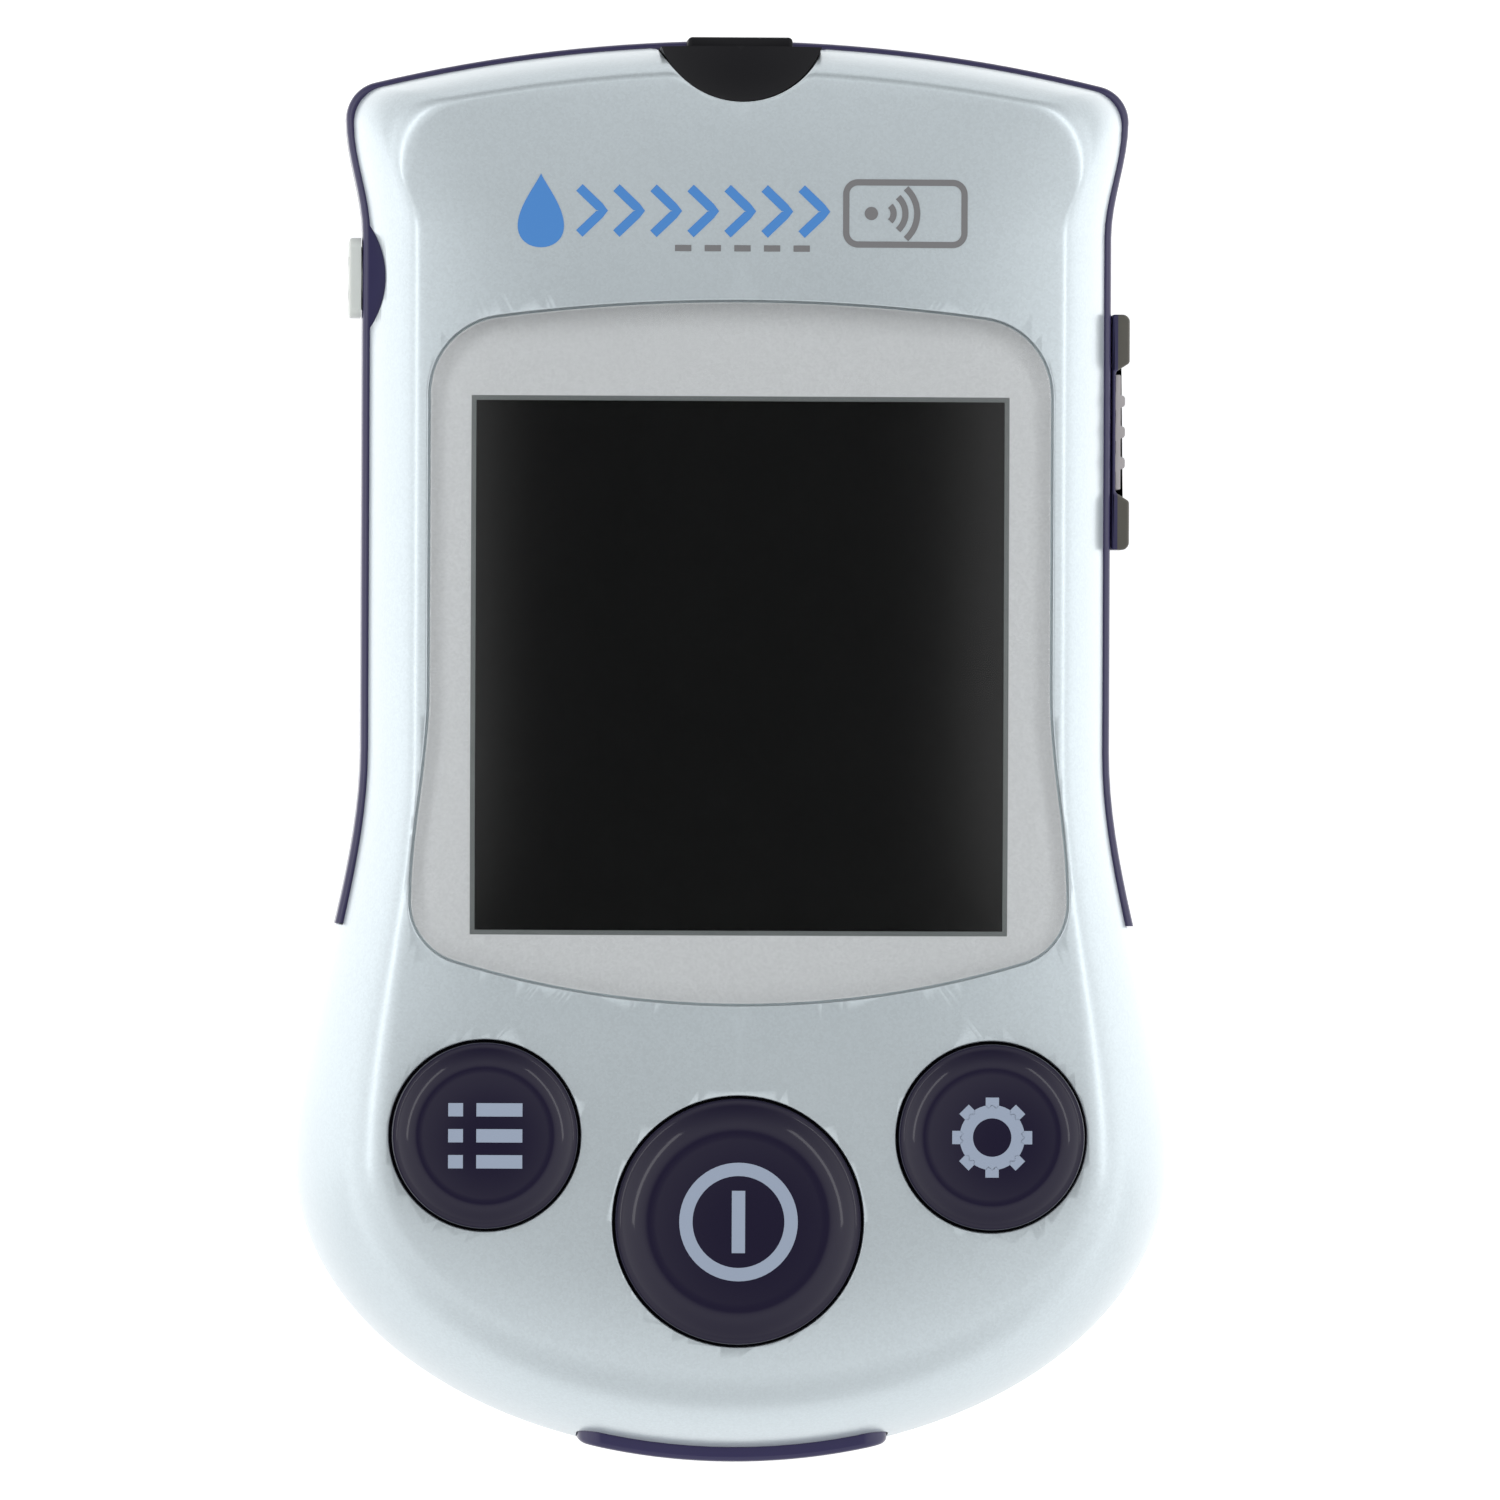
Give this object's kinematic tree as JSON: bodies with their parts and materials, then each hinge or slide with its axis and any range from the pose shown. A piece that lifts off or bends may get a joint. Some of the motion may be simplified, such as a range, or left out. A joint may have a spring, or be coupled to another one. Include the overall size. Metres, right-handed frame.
{
  "type": "blood glucose meter",
  "caption": "Hand-held blood glucose meter: waisted housing, display window, round keys, test-strip slot with thumb ejector, covered data port and sliding battery door.",
  "frame": {"origin": "middle of the flat back, on the surface the meter lies on", "axes": "+Z out of the display, +Y towards the test-strip slot, +X to the right of the display"},
  "size_m": [0.0594, 0.0966, 0.025],
  "materials": {
    "silver_paint": "metallic silver paint, satin",
    "rear_grey": "fine spark-eroded texture",
    "navy_plastic": "satin moulded",
    "key_navy": "gloss moulded with printed mark",
    "lens_clear": "polished",
    "mask_silver": "silver print",
    "lcd_black": "dark display glass",
    "white_plastic": "moulded",
    "zebra_rubber": "soft",
    "switch_steel": "plain",
    "board_green": "solder mask",
    "chip_black": "moulded resin",
    "copper": "bare copper",
    "gold": "plated",
    "spring_steel": "plated",
    "port_black": "moulded",
    "grip_grey": "soft touch",
    "cover_grey": "milky",
    "cell_jacket": "printed sleeve"
  },
  "bodies": {
    "case": {"top_housing": "silver_paint", "rear_housing": "rear_grey", "side_band": "navy_plastic", "bottom_trim": "navy_plastic", "display_lens": "lens_clear", "display_mask": "mask_silver", "lcd_glass": "lcd_black", "backlight": "white_plastic", "lcd_holder": "white_plastic", "zebra_connector": "zebra_rubber", "switch_bodies": "switch_steel", "main_pcb": "board_green", "circuit_chips": "chip_black", "antenna_coil": "copper", "buzzer": "chip_black", "strip_port": "port_black", "strip_connector": "white_plastic", "strip_contacts": "gold", "ejector_spring": "spring_steel", "data_jack": "port_black", "battery_cells": "cell_jacket", "battery_springs": "spring_steel", "battery_plates": "spring_steel", "housing_screws": "spring_steel"},
    "memory_key": {"memory_button": "key_navy", "memory_actuator": "chip_black"},
    "power_key": {"power_button": "key_navy", "power_actuator": "chip_black"},
    "set_key": {"set_button": "key_navy", "set_actuator": "chip_black"},
    "ejector": {"ejector_thumb": "navy_plastic", "ejector_grip": "grip_grey", "ejector_arm": "white_plastic"},
    "port_cover": {"data_port_cover": "cover_grey"},
    "door": {"battery_door": "rear_grey"}
  },
  "joints": [
    {"name": "memory_press", "type": "slide", "parent": "case", "child": "memory_key", "axis": [0, 0, -1], "range_m": [0, 0.0007], "stiffness_N_per_m": 1500},
    {"name": "power_press", "type": "slide", "parent": "case", "child": "power_key", "axis": [0, 0, -1], "range_m": [0, 0.0007], "stiffness_N_per_m": 1500},
    {"name": "set_press", "type": "slide", "parent": "case", "child": "set_key", "axis": [0, 0, -1], "range_m": [0, 0.0007], "stiffness_N_per_m": 1500},
    {"name": "eject_slide", "type": "slide", "parent": "case", "child": "ejector", "axis": [0, 1, 0], "range_m": [0, 0.005], "stiffness_N_per_m": 150, "deforming": ["ejector_spring"]},
    {"name": "cover_pull", "type": "slide", "parent": "case", "child": "port_cover", "axis": [-1, 0, 0], "range_m": [0, 0.004]},
    {"name": "door_slide", "type": "slide", "parent": "case", "child": "door", "axis": [0, -1, 0], "range_m": [0, 0.006]}
  ]
}
